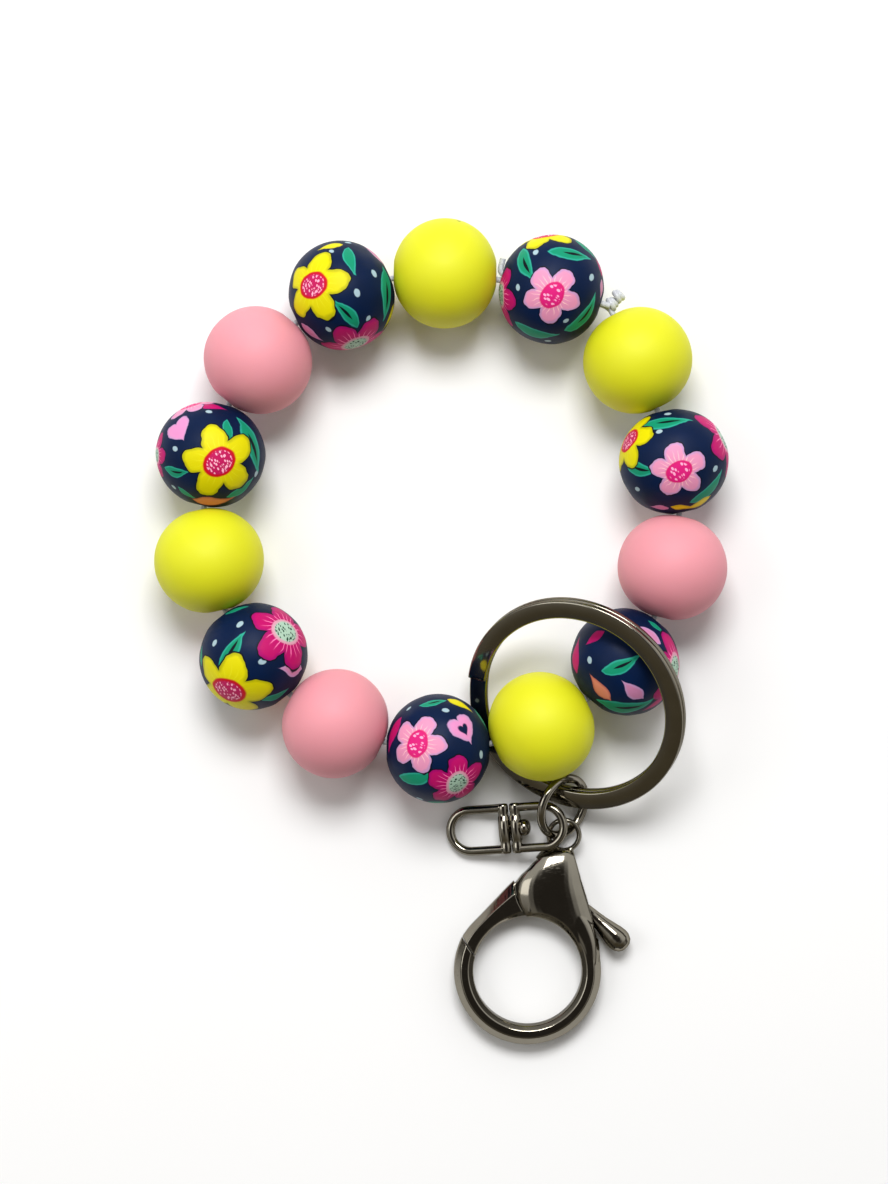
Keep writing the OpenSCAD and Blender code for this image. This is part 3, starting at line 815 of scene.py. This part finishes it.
# Half the slot's height, the gate's reach from its pivot, and the eye's middle radius, in clasp millimetres
SLOT, GATE_REACH, EYE_R = 1.0, 15.5, 2.1
slot_outline = [(-4, 4), (5.2, 4.4), (12, 4.4), (14, 11.2), (8.0, 12.2), (6.8, 13.3), (5.6, 14.3),
                (2.5, 14.9), (1.2, 15.5), (-4, 15.5)]
opening_profile = [(0.01, -3.0), (9.1, -3.0), (7.5, -1.3), (7.5, 1.3), (9.1, 3.0), (0.01, 3.0)]


def opening_cutter():
    """The round opening with a chamfered rim on both faces."""
    return lathe("opening", millimetres(opening_profile), UP)


def slot_cutter():
    """The slot that the lever turns in."""
    return plate(slot_outline, -SLOT, SLOT)


def seam_cutter():
    """The swept-out side of the hook's nose, where the gate's tip comes to rest."""
    arc = [math.radians(195 + 3 * k) for k in range(15)]
    return plate([(PIVOT.x / MM + GATE_REACH * math.cos(a), PIVOT.y / MM + GATE_REACH * math.sin(a))
                  for a in arc] + [(-3.0, 8.0)], -3, 3)


def eye_ring():
    turns = [2 * math.pi * k / 12 for k in range(12)]
    section = [(EYE_R + 0.36 * math.cos(t), 0.6 * math.sin(t)) for t in turns]
    return lathe("eye", millimetres(section), UP, 64, Vector((5.05, 18.65, 0)) * MM, closed=True)


def clasp_body():
    pod = cut(shell(pod_stations, 40, 2.2), [plate(pod_outline, -3, 3)], "INTERSECT")
    pod = cut(pod, [slot_cutter(), opening_cutter()])
    flank = cut(shell(limb_stations, 28, 2.6), [slot_cutter(), opening_cutter()])
    hook = cut(facet_limb(150, 449, 104, limb_section), [slot_cutter(), seam_cutter()])
    return cast("clasp_casting", [pod, flank, hook, eye_ring()], VOXEL, 8)


add_piece("clasp_casting", clasp_body(), gunmetal, "clasp", ["clasp_body"], clasp_centre)

# Each station of the gate: its inner and its outer edge
gate_edges = [
    ((0.6, 7.7), (1.0, 14.9)), ((-0.6, 7.6), (-0.6, 13.6)), ((-1.94, 7.26), (-2.6, 11.7)),
    ((-3.75, 6.52), (-4.6, 9.6)), ((-5.3, 5.32), (-6.5, 7.6)), ((-6.5, 3.77), (-7.95, 6.1)),
    ((-7.2, 2.1), (-9.0, 4.7))]
GATE_HALF = 1.72
# The gate's section: share of the way from the inner edge to the outer one, and share of the half height
gate_section = [(0, -0.7), (0.12, -1), (0.66, -1), (1, -0.35), (1, 0.35), (0.66, 1), (0.12, 1), (0, 0.7)]


def facet_gate():
    """The gate: a flat top leaning into a broad outer chamfer and a narrow inner one."""
    rows = []
    for inner, outer, half in eased([(inner, outer, GATE_HALF) for inner, outer in gate_edges]):
        a, b = Vector((*inner, 0)), Vector((*outer, 0))
        rows.append([(a.lerp(b, share) + UP * (half * height)) * MM for share, height in gate_section])
    return loft("gate", rows)


def pivot_disc(name, radius, half, steps):
    """A disc round the lever's pivot, in clasp millimetres."""
    profile = [(0.01, -half), (radius, -half), (radius, half), (0.01, half)]
    return lathe(name, millimetres(profile), UP, steps, Vector((PIVOT.x, PIVOT.y, 0)))


def thumb_piece():
    """A round lever with a bulb at its end."""
    start, end = Vector((7.6, 8.9, 0)), Vector((13.75, 3.1, 0))
    profile = [(0.02, 0), (0.6, 0.05), (0.75, 0.5), (0.85, 1.5), (0.95, 2.5), (1.1, 3.6), (1.35, 4.8),
               (1.58, 5.9), (1.66, 6.7), (1.58, 7.3), (1.25, 7.95), (0.7, 8.32), (0.02, 8.45)]
    return lathe("thumb", millimetres(profile), (end - start).normalized(), 40, start * MM)


def clasp_lever():
    gate = cut(facet_gate(), [pivot_disc("clear", 6.45, 3, 96)])
    tongue = plate([(4.6, 13.9), (2.6, 14.3), (0.9, 14.7), (-0.9, 13.1), (-2.2, 11.4), (-2.0, 7.6),
                    (0.6, 7.7), (4.5, 8.0), (6.6, 9.6)], -0.88, 0.88)
    arm = plate([(5.6, 12.6), (4.4, 9.6), (6.4, 8.2), (8.6, 6.6), (9.6, 7.7), (8.0, 9.4), (7.0, 10.8)],
                -0.8, 0.8)
    hub = pivot_disc("hub", 2.05, 0.88, 48)
    return cast("clasp_lever_casting", [gate, tongue, hub, arm, thumb_piece()], VOXEL, 5)


add_piece("clasp_lever_casting", clasp_lever(), gunmetal, "lever", ["clasp_lever"],
          clasp_centre)

# ---- Knot ----
knot_centre = box_centre("elastic_knot")
knot_out = Vector((knot_centre.x, knot_centre.y - LOOP_Y, 0)).normalized()
knot_side = knot_out.cross(UP)
KNOT_TURNS, KNOT_STEPS = 3.5, 150


def knot_points():
    """Tight wraps that lean one way and then back, like a hand-tied knot."""
    for k in range(KNOT_STEPS + 1):
        share = k / KNOT_STEPS
        turn = 2 * math.pi * KNOT_TURNS * share
        swell = 0.52 + 0.13 * math.sin(2 * math.pi * 1.5 * share + 0.6)
        along = -1.15 + 2.3 * share + 0.18 * math.sin(turn * 0.5)
        yield knot_centre + (knot_out * along + knot_side * swell * math.cos(turn)
                             + UP * swell * math.sin(turn)) * MM


add_piece("knot_wraps", wire("knot_wraps", list(knot_points()), 0.8 * MM, sides=14), cord_skin, "wristlet",
          ["elastic_knot"])

# ---- Camera, light and floor ----
# Height of the view at the beads' middle, and the camera's distance from it
VIEW_UP = 161.45 * MM
DISTANCE = 400 * MM
camera_data = bpy.data.cameras.new("camera")
camera_data.sensor_fit = "VERTICAL"
camera_data.sensor_height = 24.0
camera_data.lens = camera_data.sensor_height * DISTANCE / VIEW_UP
camera = linked("camera", camera_data)
camera.location = (0.34 * MM, 5.75 * MM, BEAD_R + DISTANCE)
bpy.context.scene.camera = camera

FLOOR = 3.0
floor_mesh = bpy.data.meshes.new("floor")
floor_mesh.from_pydata([(-FLOOR, -FLOOR, 0), (FLOOR, -FLOOR, 0), (FLOOR, FLOOR, 0), (-FLOOR, FLOOR, 0)], [],
                       [(0, 1, 2, 3)])
floor = linked("floor", floor_mesh)
paper, net, shader, where = material("floor_paper")
clouds = net.mix(net.noise(where, 9.0), rgb(0.97, 0.97, 0.97), rgb(0.95, 0.95, 0.95))
net.put(shader.inputs["Base Color"], clouds)
shader.inputs["Roughness"].default_value = 0.6
floor_mesh.materials.append(paper)


def area_light(name, place, size, power):
    """A rectangular light that points at the middle of the part."""
    data = bpy.data.lights.new(name, "AREA")
    data.shape = "RECTANGLE"
    data.size, data.size_y = size
    data.energy = power
    lamp = linked(name, data)
    lamp.location = place
    lamp.rotation_euler = (-Vector(place)).to_track_quat("-Z", "Y").to_euler()


area_light("key", (0.0, 0.36, 0.58), (0.34, 0.24), 3.9)
area_light("fill", (-0.45, 0.05, 0.5), (0.3, 0.3), 0.5)

world = bpy.data.worlds.new("studio")
bpy.context.scene.world = world
world.use_nodes = True
sky = Net(world.node_tree)
# Light walls towards +Y, a darker band near the floor and a dark ceiling, for the plating to reflect
x, y, z = sky.split(sky.node("ShaderNodeTexCoord").outputs["Generated"])
walls = sky.mix(sky.ramp(y, -0.75, 0.35), rgb(0.42, 0.39, 0.32), (1.0, 1.0, 1.0, 1.0))
band = sky.mix(sky.ramp(z, 0.22, 0.42), rgb(0.38, 0.37, 0.35), walls)
dome = sky.mix(sky.ramp(z, 0.80, 0.95), band, (0.05, 0.045, 0.04, 1.0))
background = world.node_tree.nodes["Background"]
sky.put(background.inputs["Color"], dome)
background.inputs["Strength"].default_value = 0.95
bpy.context.scene.view_settings.view_transform = "Standard"

# ---- Carried-over nodes ----
for node, skin in (("elastic_cord", cord_skin), ("cord_tail", cord_skin), ("lever_pin", bright_steel),
                   ("lever_spring", bright_steel)):
    frame["nodes"][node].data.materials.clear()
    frame["nodes"][node].data.materials.append(skin)
